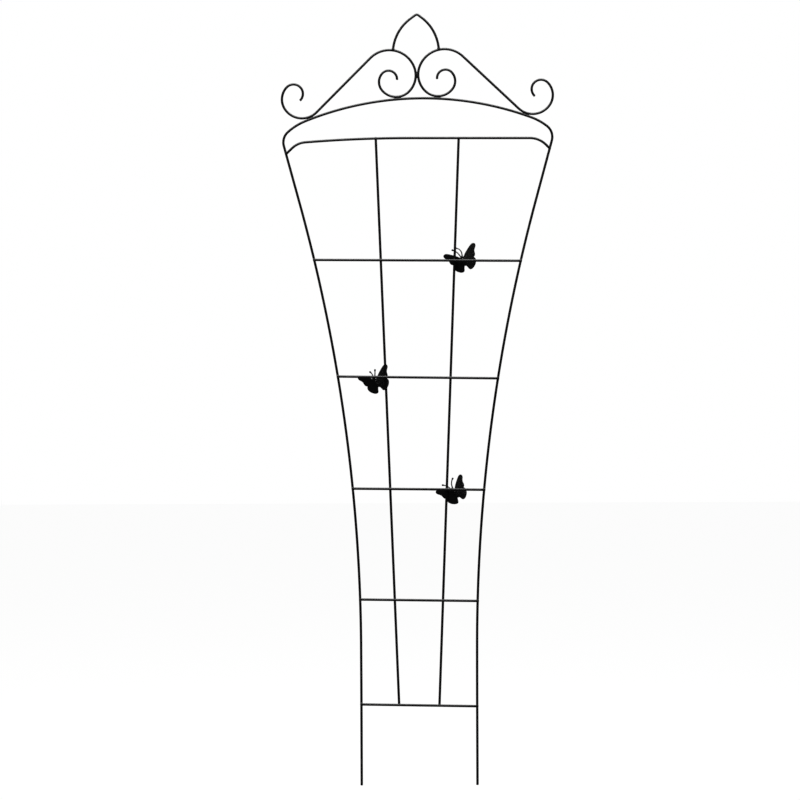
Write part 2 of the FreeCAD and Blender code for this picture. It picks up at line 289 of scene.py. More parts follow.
TUBE_SIDES = 28
END_ROUND = 0.7                # the coat rounds the sawn ends off
END_STEPS = 4
END_CLEAR = 1.5                # rounds kept free of the path's own rings
OVAL = 0.035                   # most that a bend flattens the rod
OVAL_BEND = 14.0               # the radius up to which it does
OVAL_BULGE = 0.5               # share of the flattening that comes out at the sides
BEND_SPREAD = (0.25, 0.5, 0.25)


def tube(path):
    """Closed round rod along a path, a trace oval where it was bent tightly."""
    pts = path.points
    t = np.arange(TUBE_SIDES) * (2 * math.pi / TUBE_SIDES)

    def ring(p, angle, bend, r):
        squash = OVAL * min(1.0, OVAL_BEND / bend)
        n = heading(angle + 90.0)
        across = np.outer(np.cos(t) * r * (1 - squash), n)
        return p + across + np.outer(np.sin(t) * r * (1 + squash * OVAL_BULGE), TO_FRONT)

    def rounded_end(p, angle, inward):
        """Rings from the flat end to where the rod is full."""
        out = []
        for i in range(END_STEPS):
            a = math.pi / 2 * i / END_STEPS
            back = END_ROUND * (1 - math.sin(a))
            r = ROD_R - END_ROUND * (1 - math.cos(math.pi / 2 - a))
            out.append(ring(p + inward * (END_ROUND - back), angle, STRAIGHT, r))
        out.append(ring(p + inward * END_ROUND, angle, STRAIGHT, ROD_R))
        return out

    first, last = path.angles[0], path.angles[-1]
    bends = 1.0 / np.convolve(1.0 / np.array(path.radii), BEND_SPREAD, mode="same")
    clear = END_ROUND * END_CLEAR
    start_ok = np.linalg.norm(pts - pts[0], axis=1) > clear
    end_ok = np.linalg.norm(pts - pts[-1], axis=1) > clear
    rings = rounded_end(pts[0], first, heading(first))
    for k in np.nonzero(start_ok & end_ok)[0]:
        rings.append(ring(pts[k], path.angles[k], bends[k], ROD_R))
    rings += reversed(rounded_end(pts[-1], last, -heading(last)))
    return skin(rings, pts[0], pts[-1])


# ---------------------------------------------------------------- materials
def bare_tree(owner):
    owner.use_nodes = True
    owner.node_tree.nodes.clear()
    return owner.node_tree


BLACK = (0.0032, 0.0032, 0.0034)
DARK, PALE = 0.7, 1.5          # the tone's darkest and palest, as shares of it
CLOUD_STOPS = (0.32, 0.52, 0.74)
FLECK_STOPS = ((0.3, -0.06), (0.7, 0.08))     # place, change of roughness

# Noise scale, detail and, for the clouds, roughness.
CLOUD = (38.0, 4.0, 0.6)       # slow change of colour
FLECK = (900.0, 2.0)           # change of gloss
GRIT = (2600.0, 3.0)           # the powder's grain
GRIT_STRENGTH = 0.2
PEEL_DETAIL = 2.0
PEEL_STRENGTH = 0.25


def coat(name, tone, rough, peel, peel_size, grit):
    """Black powder coat: nearly even colour, soft orange peel and fine grit.

    peel and grit are heights in millimetres, and peel_size is a noise scale.
    """
    m = bpy.data.materials.new(name)
    nt = bare_tree(m)
    out = nt.nodes.new("ShaderNodeOutputMaterial")
    bsdf = nt.nodes.new("ShaderNodeBsdfPrincipled")
    nt.links.new(bsdf.outputs[0], out.inputs[0])
    where = nt.nodes.new("ShaderNodeTexCoord")

    def noise_at(scale, detail, roughness=0.5):
        n = nt.nodes.new("ShaderNodeTexNoise")
        n.inputs["Scale"].default_value = scale
        n.inputs["Detail"].default_value = detail
        n.inputs["Roughness"].default_value = roughness
        nt.links.new(where.outputs["Object"], n.inputs["Vector"])
        return n.outputs["Fac"]

    def ramp(fac, stops):
        r = nt.nodes.new("ShaderNodeValToRGB")
        while len(r.color_ramp.elements) < len(stops):
            r.color_ramp.elements.new(0.5)
        for e, (at, value) in zip(r.color_ramp.elements, stops):
            e.position = at
            rgb = value if isinstance(value, tuple) else (value,) * 3
            e.color = (*rgb, 1.0)
        nt.links.new(fac, r.inputs[0])
        return r.outputs[0]

    def bumped(height, strength, distance, normal=None):
        b = nt.nodes.new("ShaderNodeBump")
        b.inputs["Strength"].default_value = strength
        b.inputs["Distance"].default_value = distance * MM
        nt.links.new(height, b.inputs["Height"])
        if normal is not None:
            nt.links.new(normal, b.inputs["Normal"])
        return b.outputs[0]

    shades = [tuple(c * DARK for c in tone), tone, tuple(c * PALE for c in tone)]
    colour = ramp(noise_at(*CLOUD), list(zip(CLOUD_STOPS, shades)))
    nt.links.new(colour, bsdf.inputs["Base Color"])
    gloss = ramp(noise_at(*FLECK), [(at, rough + change) for at, change in FLECK_STOPS])
    nt.links.new(gloss, bsdf.inputs["Roughness"])
    normal = bumped(noise_at(peel_size, PEEL_DETAIL), PEEL_STRENGTH, peel)
    normal = bumped(noise_at(*GRIT), GRIT_STRENGTH, grit, normal)
    nt.links.new(normal, bsdf.inputs["Normal"])
    bsdf.inputs["Specular IOR Level"].default_value = 0.5
    bsdf.inputs["IOR"].default_value = 1.5
    return m


coat_rod = coat("coat_rod", BLACK, 0.34, 0.05, 620.0, 0.012)
coat_weld = coat("coat_weld", BLACK, 0.38, 0.09, 540.0, 0.02)
coat_wing = coat("coat_wing", (0.0026, 0.0026, 0.0028), 0.34, 0.03, 760.0, 0.012)
coat_body = coat("coat_body", (0.0032, 0.0031, 0.0031), 0.32, 0.03, 760.0, 0.01)


# ---------------------------------------------------------------- rods
def rod_piece(name, path):
    verts, faces = tube(path)
    new_piece("rod_" + name, verts, faces, coat_rod, [name])


top_bar = top_bar_path()
scrolls = {s: scroll_path(s) for s in (-1, 1)}
loop = loop_path()
rod_piece("outer_frame", outer)
rod_piece("top_bar", top_bar)
rod_piece("pointed_loop", loop)
rod_piece("scroll_left", scrolls[-1])
rod_piece("scroll_right", scrolls[1])
rod_piece("upright_left", upright_path(-1))
rod_piece("upright_right", upright_path(1))
for i in range(len(BAR_Z)):
    rod_piece("crossbar_%d" % (i + 1), crossbar_path(i))


# ---------------------------------------------------------------- weld beads
def ball_mesh(level):
    """Unit icosphere."""
    g = (1 + math.sqrt(5)) / 2
    verts = [(-1, g, 0), (1, g, 0), (-1, -g, 0), (1, -g, 0), (0, -1, g), (0, 1, g),
             (0, -1, -g), (0, 1, -g), (g, 0, -1), (g, 0, 1), (-g, 0, -1), (-g, 0, 1)]
    verts = [np.array(v) / np.linalg.norm(v) for v in verts]
    faces = [(0, 11, 5), (0, 5, 1), (0, 1, 7), (0, 7, 10), (0, 10, 11), (1, 5, 9), (5, 11, 4),
             (11, 10, 2), (10, 7, 6), (7, 1, 8), (3, 9, 4), (3, 4, 2), (3, 2, 6), (3, 6, 8),
             (3, 8, 9), (4, 9, 5), (2, 4, 11), (6, 2, 10), (8, 6, 7), (9, 8, 1)]
    for _ in range(level):
        middle = {}
        finer = []

        def half(a, b):
            key = (min(a, b), max(a, b))
            if key not in middle:
                m = verts[a] + verts[b]
                verts.append(m / np.linalg.norm(m))
                middle[key] = len(verts) - 1
            return middle[key]

        for a, b, c in faces:
            ab, bc, ca = half(a, b), half(b, c), half(c, a)
            finer += [(a, ab, ca), (b, bc, ab), (c, ca, bc), (ab, bc, ca)]
        faces = finer
    return np.array(verts), faces


BALL_DIRS, BALL_FACES = ball_mesh(4)
BEAD_STEPS = 90                # places tried along each ray
BEAD_WANE = 2.2                # how soon the filler standing proud dies away
LUMP = 0.28                    # height of the ripples in a bead
LUMP_SCALE = 0.55
RIPPLE = (1.0, 2.0, 3)         # the fractal's falloff, spacing and octaves
SEED_STEP = 7.3                # moves the ripples on from one bead to the next
LEAST_FILLET = 1e-3
TINY = 1e-9


def rod_distance(rod, p):
    """Signed distance from points p to the surface of a rod.

    The rod is a line, a half line or a circle.
    """
    kind, origin, value, radius = rod
    d = p - origin
    if kind == "circle":
        ring = np.hypot(d[..., 0], d[..., 2]) - value
        return np.hypot(ring, d[..., 1]) - radius
    along = d @ value
    if kind == "half":
        along = np.maximum(along, 0.0)
    return np.linalg.norm(d - along[..., None] * value, axis=-1) - radius


def bead(centre, stretch, rods, fillet, proud, seed):
    """Closed skin of a weld: a smooth fillet between two rods that dies away at its rim."""
    t = np.linspace(0.0, 1.0, BEAD_STEPS)
    rays = BALL_DIRS[:, None, :] * t[None, :, None]
    world = centre + rays @ stretch
    a = rod_distance(rods[0], world)
    b = rod_distance(rods[1], world)
    fade = np.clip(1.0 - t * t, 0.0, 1.0)
    k = fillet * fade + LEAST_FILLET
    h = np.maximum(k - np.abs(a - b), 0.0) / k
    field = np.minimum(a, b) - h * h * k / 4.0 - proud * (1.0 - BEAD_WANE * t * t)
    rim = centre + BALL_DIRS @ stretch
    shift = Vector((seed * SEED_STEP, 0, 0))
    lump = np.array([noise.fractal(Vector(q * LUMP_SCALE) + shift, *RIPPLE) for q in rim])
    field = field - lump[:, None] * LUMP * fade
    outside = field > 0
    outside[:, -1] = True
    first = np.argmax(outside, axis=1)
    first = np.maximum(first, 1)
    rows = np.arange(len(first))
    f0, f1 = field[rows, first - 1], field[rows, first]
    w = np.clip(f0 / np.where(np.abs(f0 - f1) < TINY, TINY, f0 - f1), 0.0, 1.0)
    reach = t[first - 1] + (t[first] - t[first - 1]) * w
    return centre + (BALL_DIRS * reach[:, None]) @ stretch


def bead_group(name, node, beads):
    verts = []
    faces = []
    for i, (centre, stretch, rods, fillet, proud) in enumerate(beads):
        base = len(verts) * len(BALL_DIRS)
        verts.append(bead(centre, stretch, rods, fillet, proud, i + len(name)))
        faces += [(a + base, b + base, c + base) for a, b, c in BALL_FACES]
    new_piece(name, np.vstack(verts), faces, coat_weld, [node])


LAP = np.array([0.0, -BAR_Y / 2.0, 0.0])
LEVEL = np.array([1.0, 0.0, 0.0])

# Half sizes of each kind of bead, then its fillet's radius and how proud it stands.
LAP_BEAD = ((5.2, 4.6, 5.2), 3.6, 0.3)
SEAM_BEAD = ((8.5, 3.4, 3.2), 3.2, 0.1)       # along the seam, deep, across it
FOOT_BEAD = ((5.4, 4.8, 4.8), 3.6, 0.18)
TACK_BEAD = ((4.8, 4.0, 4.8), 3.2, 0.12)


def round_bead(kind, centre, rods):
    size, fillet, proud = kind
    return centre, np.diag(size), rods, fillet, proud


def seam_bead(centre, out, rods):
    """Long bead between two rods that touch side by side; out points across the seam."""
    (along, deep, across), fillet, proud = SEAM_BEAD
    seam = np.array([out[2], 0.0, -out[0]])
    stretch = np.array([seam * along, [0.0, deep, 0.0], out * across])
    return centre, stretch, rods, fillet, proud


def lap_bead(at, bar, rod):
    """Weld where a bar laps the rod behind it; at is on the bar's axis.

    bar and rod are each a kind and a direction: a "half" starts here and runs that way.
    """
    back = at * np.array([1.0, 0.0, 1.0])
    rods = ((bar[0], at, bar[1], ROD_R), (rod[0], back, rod[1], ROD_R))
    return round_bead(LAP_BEAD, at + LAP, rods)


ASIDE_WEIGHT = 0.3             # of a point's sideways distance, against its height


def direction_at(path, z, near_x):
    """Heading of a path where it passes height z close to near_x."""
    aside = np.abs(path.points[:, 0] - near_x)
    score = np.abs(path.points[:, 2] - z) + ASIDE_WEIGHT * aside
    return heading(path.angles[int(np.argmin(score))])


side_beads = []
upright_beads = []
for side in (-1, 1):
    post = heading(math.degrees(math.atan2(
        TOP_BAR_Z - BAR_Z[0], side * (UPRIGHT_HALF[1] - UPRIGHT_HALF[0]))))
    for i in range(len(BAR_Z)):
        bar_dir = heading(-BAR_FALL[i])
        at = crossing(i, side, side_x)
        through = ("line", direction_at(outer, at[2], at[0]))
        side_beads.append(lap_bead(at, ("half", bar_dir * -side), through))
        foot = ("half" if i == 0 else "line", post)
        upright_beads.append(lap_bead(crossing(i, side, upright_x), ("line", bar_dir), foot))
    end = top_bar.points[0] if side < 0 else top_bar.points[-1]
    end_dir = heading(top_bar.angles[0] if side < 0 else top_bar.angles[-1] + 180.0)
    through = ("line", direction_at(outer, end[2], end[0]))
    side_beads.append(lap_bead(end, ("half", end_dir), through))
    x = side * upright_x(TOP_BAR_Z)
    z = float(np.interp(x, top_bar.points[:, 0], top_bar.points[:, 2]))
    upright_beads.append(lap_bead(np.array([x, BAR_Y, z]), ("line", LEVEL), ("half", -post)))
bead_group("weld_beads_sides", "welds_sides", side_beads)
bead_group("weld_beads_uprights", "welds_uprights", upright_beads)


# Where each rod's arcs stand in its list of circles.
ARCH = 4
CURLS_ON_ARCH = (2, 5)
CURL_UNDER_LOOP = 3
CURL_AT_MIDDLE = 4

arch = outer.circles[ARCH]
crown_beads = []
for side in (-1, 1):
    for index in CURLS_ON_ARCH:
        curl = scrolls[side].circles[index]
        out = curl[0] - arch[0]
        out = out / np.linalg.norm(out)
        centre = arch[0] + out * (arch[1] + ROD_R + GAP / 2)
        rods = (("circle", *arch, ROD_R), ("circle", *curl, ROD_R))
        crown_beads.append(seam_bead(centre, out, rods))
    foot = loop.points[0] if side < 0 else loop.points[-1]
    up = heading(loop.angles[0] if side < 0 else loop.angles[-1] + 180.0)
    curl = scrolls[side].circles[CURL_UNDER_LOOP]
    rods = (("half", foot, up, ROD_R), ("circle", *curl, ROD_R))
    crown_beads.append(round_bead(FOOT_BEAD, foot, rods))
left, right = (scrolls[side].circles[CURL_AT_MIDDLE] for side in (-1, 1))
middle = (left[0] + right[0]) / 2 * np.array([0.0, 0.0, 1.0])
rods = (("circle", *left, ROD_R), ("circle", *right, ROD_R))
crown_beads.append(seam_bead(middle, LEVEL, rods))
bead_group("weld_beads_crown", "welds_crown", crown_beads)


# ---------------------------------------------------------------- butterflies
# name, crossbar it hangs on, x, z, direction of the wings' axis, twist of the body,
# then for the left and right antenna: length, direction, turn
BUTTERFLIES = (
    ("butterfly_1", 4, 90.7, 1034.3, 111.8, 1.2, (24.5, 124.0, 38.0), (25.5, 100.0, 72.0)),
    ("butterfly_2", 3, -81.3, 795.1, 114.0, 10.0, (18.0, 101.0, 40.0), (18.0, 88.0, 6.0)),
    ("butterfly_3", 2, 73.4, 575.8, 124.0, 5.0, (23.0, 136.0, 38.0), (23.5, 111.0, -48.0)),
)
# size against the full stamping, degrees a wing is folded back, degrees the pair is swung
WING_SETS = {
    "butterfly_1": (1.0, 17.0, -5.0),
    "butterfly_2": (0.985, 24.0, -3.0),
    "butterfly_3": (0.94, 20.5, 3.5),
}
# Outline of the right wing on the flat sheet: the fore edge runs from the body out and
# back to the notch, the hind edge from the notch back to the body.
FORE_EDGE = ((0, 9.0), (3.4, 9.2), (5.9, 11.3), (8.9, 14.1), (12.6, 17.0), (20.5, 22.7),
             (26.6, 26.3), (31.0, 27.3), (34.8, 25.3), (35.1, 21.4), (31.6, 16.4),
             (28.6, 11.4), (28.0, 7.4), (26.6, 3.6), (22.9, 0.7))
HIND_EDGE = ((22.9, 0.7), (25.0, -3.6), (24.0, -8.6), (20.8, -13.5), (16.2, -17.4),
             (10.4, -19.9), (6.4, -19.3), (3.6, -14.0), (0, -7.4))
SHEET_T = 1.2
FOLD_BEND = 2.5                # the fold's width, each side of the middle
FOLD_BEHIND = 2.9              # the fold's depth behind the body's axis
CAMBER = 0.7
CAMBER_SPAN = 36.0
FOLD_REACH = 40.0              # as far out as the fold is worked out, in FOLD_STEPS
FOLD_STEPS = 4001
BODY_R = 3.0
BODY_Y = BAR_Y + ROD_R + GAP + BODY_R
SUNK = 0.1                     # how far inside the body's radius its tack weld begins
HEAD_AT = 9.0
TWIST_AT = -4.0
WIRE_R = 1.25
KNOB_R = 1.9
ANTENNA_APART = 1.4            # of each root from the middle of the head
ANTENNA_TILT = 22.0

# Veins as (start, middle, end) of a bowed line: two closed cells and the branches from them.
FORE_VEINS = (
    ((0.5, 7.0), (8.8, 10.7), (18.6, 18.8)), ((0.5, 5.3), (9.0, 7.8), (18.2, 13.5)),
    ((18.6, 18.8), (19.4, 16.2), (18.2, 13.5)),
    ((18.6, 18.8), (25.2, 23.2), (32.4, 26.2)), ((18.6, 18.8), (27.0, 22.6), (35.0, 23.2)),
    ((19.1, 17.1), (26.9, 19.0), (34.0, 19.8)), ((19.1, 15.5), (25.6, 16.1), (31.4, 16.4)),
    ((18.2, 13.5), (24.2, 12.8), (29.2, 12.8)), ((14.0, 10.6), (21.5, 9.2), (28.1, 9.2)),
    ((9.0, 8.1), (18.0, 5.4), (27.2, 5.2)), ((0.5, 4.1), (12.0, 2.6), (24.0, 1.8)),
)
HIND_VEINS = (
    ((0.5, 0.6), (6.4, 0.2), (12.4, -2.8)), ((0.5, -2.2), (4.9, -4.4), (10.0, -8.6)),
    ((12.4, -2.8), (12.2, -6.0), (10.0, -8.6)),
    ((6.4, 0.2), (15.4, 0.8), (23.9, -1.2)), ((12.4, -2.8), (18.2, -3.1), (24.8, -4.6)),
    ((12.5, -4.3), (17.9, -6.2), (23.8, -8.8)), ((12.0, -6.0), (16.6, -9.4), (21.2, -12.9)),
    ((11.1, -7.5), (14.3, -12.0), (17.4, -16.3)), ((10.0, -8.6), (12.0, -13.8), (13.0, -18.8)),
    ((7.7, -6.7), (8.2, -12.6), (8.2, -19.6)), ((4.3, -4.3), (4.6, -8.8), (4.8, -15.8)),
)

# The flat wing's mesh: pitch, rows of points that follow the margin, and a triangular grid.
MESH_PITCH = 0.48
MARGIN_ROWS = (0.06, 0.22, 0.48)
MARGIN_KEEP = 0.93             # of its inset that a point keeps from every edge
FOLD_CLEAR = 0.15
GRID_CLEAR = 0.72
GRID_X = (0.35, 36.5)
GRID_Z = (-21.0, 29.0)
GRID_ROW = 0.866               # of the pitch, between rows
SPLINE_STEPS = 1200
VEIN_STEPS = 14
ON_MARGIN = 1e-4
ON_FOLD = 1e-6
MERGE = 1e-6

# The stamped pattern: heights and widths in millimetres.
RIM = (0.34, 0.75, 0.40)       # height, place from the margin, width
VEIN = (0.36, 0.35)            # height, share of it lost towards the tip
VEIN_WIDTH = (0.46, 0.12)      # width, how much narrower at the tip
CELL = (0.32, 1.5, 1.6)        # height between veins, widths to a vein and to the margin
PLEATS = (0.035, 110.0)        # height, number to the radian
PLEAT_CENTRE = (-3.0, 2.0)
SPOT_H = 0.30
SPOT_PITCH = 2.5
SPOT_CLEAR = 0.5               # from a vein
SPOT_ROWS = ((2.1, 0.0, 0.46), (3.7, 0.5, 0.40))    # inset, phase, size
SPOT_START = (4.0, 2.0)        # on the fore edge and on the hind edge
SPOT_END = 1.5                 # left free at the end of a row
SPOT_LOOK = 0.3                # how far along the margin its heading is read
FAR = 9.0                      # from every vein, before any is measured
RELIEF_RISE = 0.35             # from the margin to the full pattern
EDGE_ROUND = 0.5
BACK_SHARE = 0.55              # of the pattern that shows on the back


def spline(points, pitch):
    """Smooth curve through the points, sampled evenly."""
    p = np.array(points, float)
    t = run_along(p)
    n = len(p)
    h = np.diff(t)
    system = np.eye(n)
    rhs = np.zeros((n, 2))
    for i in range(1, n - 1):
        system[i, i - 1: i + 2] = (h[i - 1], 2 * (h[i - 1] + h[i]), h[i])
        rhs[i] = 6 * ((p[i + 1] - p[i]) / h[i] - (p[i] - p[i - 1]) / h[i - 1])
    m = np.linalg.solve(system, rhs)
    s = np.linspace(0, t[-1], SPLINE_STEPS)
    i = np.clip(np.searchsorted(t, s, side="right") - 1, 0, n - 2)
    a, b = (t[i + 1] - s)[:, None], (s - t[i])[:, None]
    hi = h[i][:, None]
    curve = (m[i] * a ** 3 + m[i + 1] * b ** 3) / (6 * hi)
    curve += (p[i] / hi - m[i] * hi / 6) * a + (p[i + 1] / hi - m[i + 1] * hi / 6) * b
    run = run_along(curve)
    return columns(np.linspace(0, run[-1], max(2, int(run[-1] / pitch)) + 1), run, curve)


def to_segments(p, a, b):
    """Distance from each point to each segment, and the place along it."""
    ab = b - a
    d = p[:, None, :] - a[None]
    s = np.clip((d * ab).sum(-1) / (ab * ab).sum(-1), 0.0, 1.0)
    return np.linalg.norm(d - s[..., None] * ab, axis=-1), s


def inside(p, a):
    """Whether each point of p lies inside the closed polygon a."""
    b = np.roll(a, -1, axis=0)
    x, z = p[:, :1], p[:, 1:]
    over = (a[:, 1] > z) != (b[:, 1] > z)
    rise = np.where(b[:, 1] == a[:, 1], TINY, b[:, 1] - a[:, 1])
    left_of = x < (b[:, 0] - a[:, 0]) * (z - a[:, 1]) / rise + a[:, 0]
    return (over & left_of).sum(axis=1) % 2 == 1


def bowed(vein):
    """Points of a vein's bowed line."""
    a, b, c = (np.array(q, float) for q in vein)
    ctrl = 2 * b - (a + c) / 2
    t = np.linspace(0, 1, VEIN_STEPS)[:, None]
    return a * (1 - t) ** 2 + ctrl * 2 * t * (1 - t) + c * t ** 2


def edge_spots(edge, inset, pitch, start, phase):
    """Centres of a row of spots that follows the margin."""
    run = run_along(edge)
    at = np.arange(start + phase * pitch, run[-1] - SPOT_END, pitch)
    p, q = columns(at, run, edge), columns(at + SPOT_LOOK, run, edge)
    along = (q - p) / np.linalg.norm(q - p, axis=1)[:, None]
    return p + np.stack([along[:, 1], -along[:, 0]], axis=1) * inset


def bell(distance, width):
    return np.exp(-(distance / width) ** 2)


def wing_relief(p, depth, edge_parts):
    """Height of the stamped pattern at flat points p, depth from the margin."""
    rim_h, rim_at, rim_width = RIM
    vein_h, vein_loss = VEIN
    wide, narrowing = VEIN_WIDTH
    cell_h, to_vein, to_margin = CELL
    pleat_h, pleats = PLEATS
    h = rim_h * bell(depth - rim_at, rim_width)
    near = np.full(len(p), FAR)
    ridge = np.zeros(len(p))
    rows = np.arange(len(p))
    for vein in FORE_VEINS + HIND_VEINS:
        line = bowed(vein)
        d, s = to_segments(p, line[:-1], line[1:])
        k = d.argmin(axis=1)
        along = (k + s[rows, k]) / (len(line) - 1)
        d = d[rows, k]
        near = np.minimum(near, d)
        height = vein_h * (1 - vein_loss * along)
        ridge = np.maximum(ridge, height * bell(d, wide - narrowing * along))
    cell = (1 - bell(near, to_vein)) * (1 - bell(depth, to_margin))
    turn = np.arctan2(p[:, 1] - PLEAT_CENTRE[1], p[:, 0] - PLEAT_CENTRE[0])
    h = np.maximum(h, ridge) + cell_h * cell + pleat_h * np.sin(turn * pleats) * cell
    for edge, start in edge_parts:
        for inset, phase, size in SPOT_ROWS:
            centres = edge_spots(edge, inset, SPOT_PITCH, start, phase)
            d = np.linalg.norm(p[:, None, :] - centres[None], axis=-1).min(axis=1)
            h = h + SPOT_H * bell(d, size) * (near > SPOT_CLEAR)
    return h


def flat_wing():
    """One flat wing.

    Its points, triangles, which points are on the margin, the height of its pattern,
    and the share of its thickness that the rounded edge leaves.
    """
    fore = spline(FORE_EDGE, MESH_PITCH)
    hind = spline(HIND_EDGE, MESH_PITCH)
    margin = np.vstack([fore, hind[1:]])
    fold_n = int((margin[0, 1] - margin[-1, 1]) / MESH_PITCH)
    fold_z = np.linspace(margin[-1, 1], margin[0, 1], fold_n + 1)[1:-1]
    fold = np.stack([np.zeros(len(fold_z)), fold_z], axis=1)
    boundary = np.vstack([margin, fold])
    seg_a, seg_b = margin[:-1], margin[1:]
    fill = []
    tangent = np.gradient(margin, axis=0)
    tangent /= np.linalg.norm(tangent, axis=1)[:, None]
    inward = np.stack([tangent[:, 1], -tangent[:, 0]], axis=1)
    for inset in MARGIN_ROWS:
        row = (margin + inward * inset)[1:-1]
        keep = to_segments(row, seg_a, seg_b)[0].min(axis=1) > inset * MARGIN_KEEP
        fill.append(row[keep & (row[:, 0] > FOLD_CLEAR)])
    grid = np.array([(x + (i % 2) * MESH_PITCH / 2, z)
                     for i, z in enumerate(np.arange(*GRID_Z, MESH_PITCH * GRID_ROW))
                     for x in np.arange(*GRID_X, MESH_PITCH)])
    grid = grid[inside(grid, boundary)]
    far = to_segments(grid, seg_a, seg_b)[0].min(axis=1) > GRID_CLEAR
    fill.append(grid[far])
    points = np.vstack([boundary] + fill)
    n = len(boundary)
    ring = [(i, (i + 1) % n) for i in range(n)]
    out = delaunay_2d_cdt([Vector(p) for p in points], ring, [list(range(n))], 1, MERGE)
    flat = np.array([tuple(v) for v in out[0]])
    tris = np.array(out[2])
    a, b, c = (flat[tris[:, k]] for k in range(3))
    ab, ac = b - a, c - a
    clockwise = ab[:, 0] * ac[:, 1] - ab[:, 1] * ac[:, 0] < 0
    tris[clockwise] = tris[clockwise][:, ::-1]
    depth = to_segments(flat, seg_a, seg_b)[0].min(axis=1)
    on_margin = depth < ON_MARGIN
    depth[on_margin] = 0.0
    relief = wing_relief(flat, depth, tuple(zip((fore[len(fore) // 2:], hind), SPOT_START)))
    relief = relief * np.minimum(depth / RELIEF_RISE, 1.0)
    edge = np.sqrt(np.clip(1 - (1 - np.minimum(depth / EDGE_ROUND, 1.0)) ** 2, 0.0, 1.0))
    return flat, tris, on_margin, relief, edge


def wing_pair(wing, size, fold, swing):
    """Closed stamped sheet of both wings.

    The flat wing is scaled, folded back, mirrored and swung.
    """
    flat, tris, on_margin, relief, edge = wing
    flat = flat * size
    xs = np.linspace(0, FOLD_REACH, FOLD_STEPS)
    lean = math.radians(fold) * np.clip(xs / FOLD_BEND, 0, 1)
    step = xs[1] - xs[0]
    px = np.concatenate([[0.0], np.cumsum(np.cos(lean[:-1]) * step)])
    py = np.concatenate([[0.0], np.cumsum(np.sin(lean[:-1]) * step)])
    fx = np.interp(flat[:, 0], xs, px)
    bulge = np.sin(np.pi * np.clip(flat[:, 0] / CAMBER_SPAN, 0, 1)) ** 2
    fy = np.interp(flat[:, 0], xs, py) - CAMBER * bulge
    fl = np.interp(flat[:, 0], xs, lean)
    mid = np.stack([fx, fy, flat[:, 1]], axis=1)
    normal = np.stack([np.sin(fl), -np.cos(fl), np.zeros(len(fl))], axis=1)
    front = mid + normal * (SHEET_T / 2 * edge + relief)[:, None]
    back = mid - normal * (SHEET_T / 2 * edge - relief * BACK_SHARE)[:, None]

    verts, faces = [], []
    index = {}

    def vertex(i, face, side):
        if on_margin[i]:
            face = "rim"
        if flat[i, 0] < ON_FOLD:
            side = 1
        key = (i, face, side)
        if key not in index:
            p = (back if face == "back" else front)[i] * np.array([side, 1.0, 1.0])
            index[key] = len(verts)
            verts.append(p)
        return index[key]

    for tri in tris:
        for side in (1, -1):
            order = tri if side > 0 else tri[::-1]
            faces.append([vertex(i, "front", side) for i in order])
            faces.append([vertex(i, "back", side) for i in order[::-1]])
    x, y, z = np.array(verts).T
    c, s = math.cos(math.radians(swing)), math.sin(math.radians(swing))
    return np.stack([x * c - y * s, x * s + y * c, z], axis=1), faces


# The body's parts along Z: radius, middle, half length.
ABDOMEN = (2.75, -3.0, 7.0)
THORAX = (3.0, 2.9, 4.0)
HEAD = (2.85, HEAD_AT, 3.0)
NECK = (1.7, 6.6, 2.6)
WAIST = (2.1, -0.6, 3.0)
BODY_LOW = -10.0
BODY_L = 22.0
BODY_SIDES = 40                # points in a row
BODY_ROWS = 120
POLE = 0.06                    # angle left open at each end of the rows
TIPS = (0.08, 0.05)            # past the first and the last row
GROOVE = (0.10, 1.45)          # depth against the radius, pitch
SOFTEN = (1, 2, 3, 2, 1)
EYE_AT = (2.1, -1.6, 0.9)      # from the head's middle
EYE = (0.38, 0.95)             # height, radius
FUR = (0.10, 3.4)              # height, half length
FUR_NOISE = (1.6, 0.7)         # scale round the body and along it
SKIN_NOISE = (0.02, 1.3)       # height, scale


def egg(z, radius, middle, half):
    """Radius at z of a round swelling."""
    return radius * np.sqrt(np.clip(1 - ((z - middle) / half) ** 2, 0, 1))


def link(z, radius, middle, half):
    """Radius at z of a pointed swelling between two round ones."""
    return radius * np.clip(1 - np.abs(z - middle) / half, 0, 1) ** 0.5


